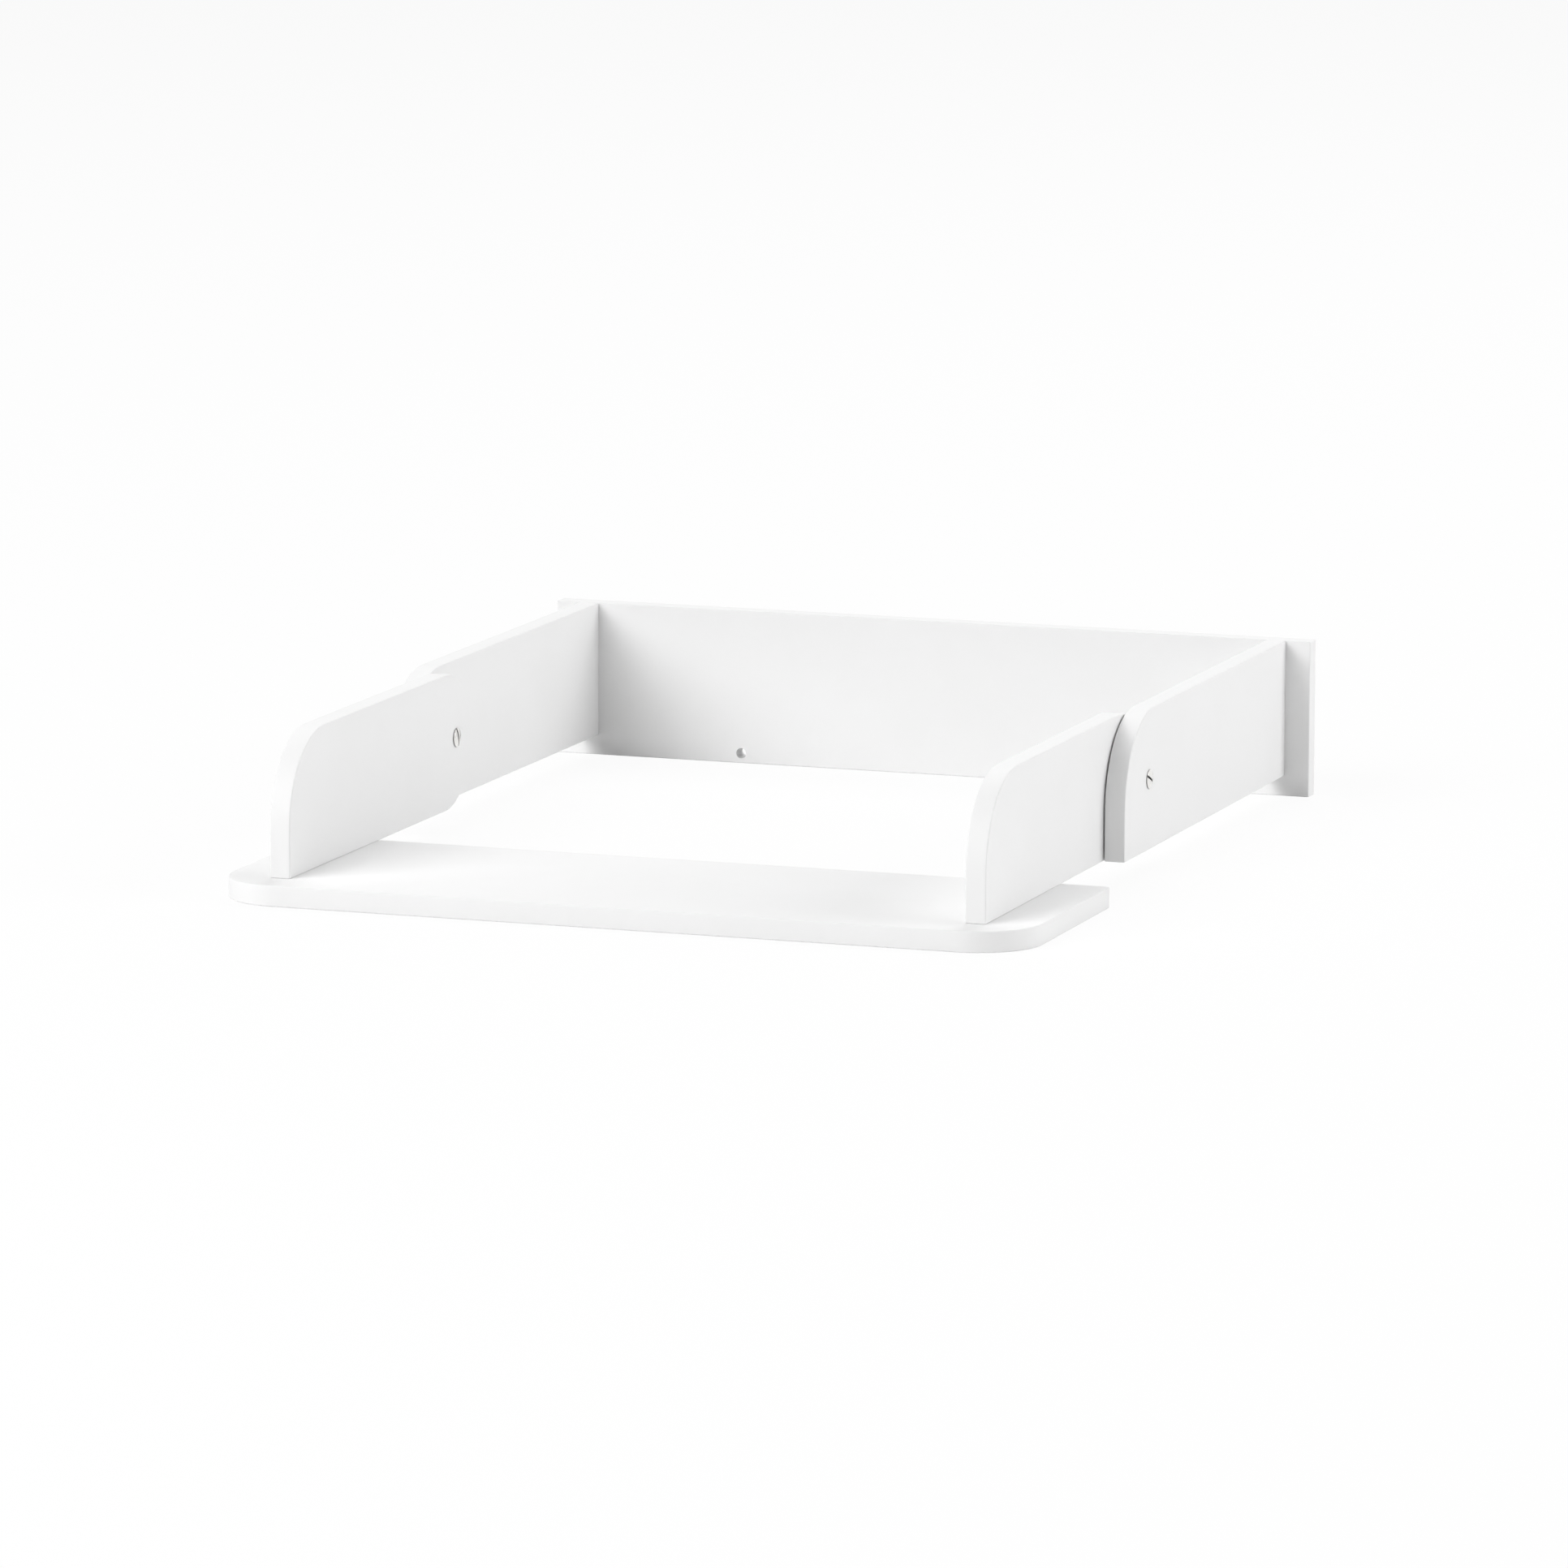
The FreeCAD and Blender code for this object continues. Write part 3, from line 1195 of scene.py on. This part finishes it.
@dataclass(frozen=True)
class BoardJoint:
    """The fasteners of one side's joint: two screws and two dowels, in line.

    The heads face along outward, by its sign, and the line of fasteners runs along spread.
    """

    side: Side
    name: str
    body: Body
    outward: Axis
    sign: int
    spread: Axis

    def build(self, zinc: Material, beech: Material) -> list[Object]:
        """Builds and dresses the fasteners.

        Args:
            zinc: Finish of the screws.
            beech: Finish of the dowels.

        Returns:
            The pieces.
        """
        return [
            self._pair("screws", JointScrew(), zinc, "threaded"),
            self._pair("dowels", FlutedDowel(), beech, "fluted"),
        ]

    def _pair(self, name: str, form: JointScrew | FlutedDowel, finish: Material,
              suffix: str) -> Object:
        """Two fasteners, seated where their solids are.

        Args:
            name: The word that ends their node's name.
            form: The fastener.
            finish: Its material.
            suffix: The word that ends the piece's name.

        Returns:
            The piece.
        """
        node = f"{self.side.label}_{self.name}_{name}"
        low, high = node_box(node)
        line, out = self.spread.value, self.outward.value
        seats = np.tile((low + high) / 2, (2, 1))
        seats[:, line] = [low[line] + form.radius, high[line] - form.radius]
        seats[:, out] = (high if self.sign > 0 else low)[out] - self.sign * form.seated
        facing = self.sign * self.outward.unit
        turn = np.stack([np.cross(self.spread.unit, facing), self.spread.unit, facing])
        made = form.shell().placed(turn, seats).piece(f"{node}_{suffix}")
        return dressed(made, finish, self.body, node)


# Boards

@dataclass(frozen=True)
class Board:
    """A lacquered board, which keeps its solid."""

    node: str
    thickness: Axis

    def dress(self, lacquer: Material) -> Object:
        """Gives the board its lacquer.

        Args:
            lacquer: The finish, with its arrises across the board's thickness.

        Returns:
            The board.
        """
        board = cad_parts[self.node]
        for slot in board.material_slots:
            slot.material = lacquer
        return board


@dataclass(frozen=True)
class Boards:
    """The six lacquered boards."""

    boards: tuple[Board, ...] = (
        Board("back_board", Axis.Y),
        Board("front_shelf", Axis.Z),
        Board("left_rear_side", Axis.X),
        Board("left_front_side", Axis.X),
        Board("right_rear_side", Axis.X),
        Board("right_front_side", Axis.X),
    )

    def build(self) -> list[Object]:
        """Lacquers each board."""
        lacquer = {axis: SatinLacquer(axis).material() for axis in Axis}
        return [board.dress(lacquer[board.thickness]) for board in self.boards]


# Studio

def towards(azimuth: float, elevation: float) -> Vector:
    """The direction from the part out to a camera or a lamp.

    Args:
        azimuth: Degrees round from the front, with 90 on the part's right.
        elevation: Degrees above level.

    Returns:
        The direction.
    """
    around, above = math.radians(azimuth), math.radians(elevation)
    return Vector((math.sin(around) * math.cos(above), -math.cos(around) * math.cos(above), math.sin(above)))


@dataclass(frozen=True)
class PhotoCamera:
    """The camera, where the picture was taken from: far off, with a long lens."""

    azimuth: float = 19.173
    elevation: float = 9.484
    roll: float = 0.220
    distance: float = 7.6024
    target: Place = (-0.00182, 0.0158, 0.04611)
    focal_pixels: float = 12218.9
    frame_pixels: int = 1932
    sensor: float = 36.0
    clip_end: float = 100.0

    def build(self) -> Object:
        """Puts up the camera.

        Returns:
            The camera.
        """
        around = math.radians(self.azimuth)
        ahead = -towards(self.azimuth, self.elevation)
        level = Vector((math.cos(around), math.sin(around), 0))
        right = Matrix.Rotation(-math.radians(self.roll), 3, ahead) @ level
        data = bpy.data.cameras.new("camera")
        data.sensor_width = self.sensor
        data.lens = self.sensor * self.focal_pixels / self.frame_pixels
        data.clip_end = self.clip_end
        camera = in_scene("camera", data)
        turn = Matrix((right, right.cross(ahead), -ahead)).transposed().to_4x4()
        camera.matrix_world = Matrix.Translation(Vector(self.target) - ahead * self.distance) @ turn
        bpy.context.scene.camera = camera
        return camera


@dataclass(frozen=True)
class Softbox:
    """A large square lamp that faces the part."""

    name: str
    azimuth: float
    elevation: float
    distance: float
    width: float
    power: float
    target: Place = (0.0, 0.0, 0.06)

    def build(self) -> Object:
        """Puts up the lamp.

        Returns:
            The lamp.
        """
        away = towards(self.azimuth, self.elevation)
        data = bpy.data.lights.new(self.name, "AREA")
        data.size = self.width
        data.energy = self.power
        lamp = in_scene(self.name, data)
        lamp.location = Vector(self.target) + away * self.distance
        lamp.rotation_euler = away.to_track_quat("Z", "Y").to_euler()
        return lamp


@dataclass(frozen=True)
class Studio:
    """A pale floor, an even sky and three soft lamps: a large key, one at the side and one behind."""

    floor_half: float = 30.0
    floor_drop: float = 0.2 * MM
    floor_colour: Colour = (0.93, 0.93, 0.93)
    floor_glow: float = 0.92
    sky: float = 0.15
    lamps: tuple[Softbox, ...] = (
        Softbox("key", azimuth=-34.0, elevation=36.0, distance=7.0, width=5.0, power=405.0),
        Softbox("side", azimuth=104.0, elevation=22.0, distance=7.0, width=5.0, power=268.0),
        Softbox("behind", azimuth=180.0, elevation=52.0, distance=7.0, width=3.6, power=166.0),
    )
    camera: PhotoCamera = PhotoCamera()

    def build(self) -> None:
        """Puts up the floor, the sky, the lamps and the camera."""
        self._floor()
        self._sky()
        for lamp in self.lamps:
            lamp.build()
        self.camera.build()
        bpy.context.scene.view_settings.view_transform = "Standard"

    def _floor(self) -> None:
        """Lays the floor a hair below the part; the eye sees it as near white with a faint shadow on it."""
        half, level = self.floor_half, -self.floor_drop
        mesh = bpy.data.meshes.new("floor")
        corners = [(x * half, y * half, level) for x, y in ((-1, -1), (1, -1), (1, 1), (-1, 1))]
        mesh.from_pydata(corners, [], [(0, 1, 2, 3)])
        material, shading = new_material("pale_floor")
        paint = shading.node("ShaderNodeBsdfDiffuse", None, {"Color": (*self.floor_colour, 1.0)})
        glow = shading.node("ShaderNodeEmission", None, {"Color": WHITE, "Strength": 1.0})
        share = shading.seen_direct() * self.floor_glow
        layers = {0: share, 1: paint.outputs[0], 2: glow.outputs[0]}
        shading.finish(shading.node("ShaderNodeMixShader", None, layers))
        mesh.materials.append(material)
        in_scene("floor", mesh)

    def _sky(self) -> None:
        """Lights the part evenly from all round; the eye sees the sky as white."""
        world = bpy.data.worlds.new("sky")
        world.use_nodes = True
        shading = Shading(world.node_tree)
        strength = shading.seen_direct() * (1.0 - self.sky) + self.sky
        shader = shading.node("ShaderNodeBackground", None, {"Color": WHITE, "Strength": strength})
        shading.finish(shader, "ShaderNodeOutputWorld")
        bpy.context.scene.world = world


def main() -> None:
    """Builds the part and its studio, and reports each piece."""
    logging.basicConfig(level=logging.INFO, format="%(message)s")
    pieces = Boards().build()
    low, high = node_box("left_pivot_washer")
    _, across, above = (low + high) / 2
    plate = NickelPlate((across, above)).material()
    nylon = MilkyNylon().material()
    zinc = ZincPlate().material()
    beech = {axis: TurnedBeech(axis).material() for axis in (Axis.Y, Axis.Z)}
    for side in Side:
        pieces += PivotJoint(side).build(plate, nylon)
        back = BoardJoint(side, "back", Body.REAR, outward=Axis.Y, sign=1, spread=Axis.Z)
        pieces += back.build(zinc, beech[back.outward])
        shelf = BoardJoint(side, "shelf", Body.FRONT, outward=Axis.Z, sign=-1, spread=Axis.Y)
        pieces += shelf.build(zinc, beech[shelf.outward])
    Studio().build()
    for piece in pieces:
        LOG.info("%s: %d faces, %s", piece.name, len(piece.data.polygons), piece.active_material.name)


if __name__ == "__main__":
    main()
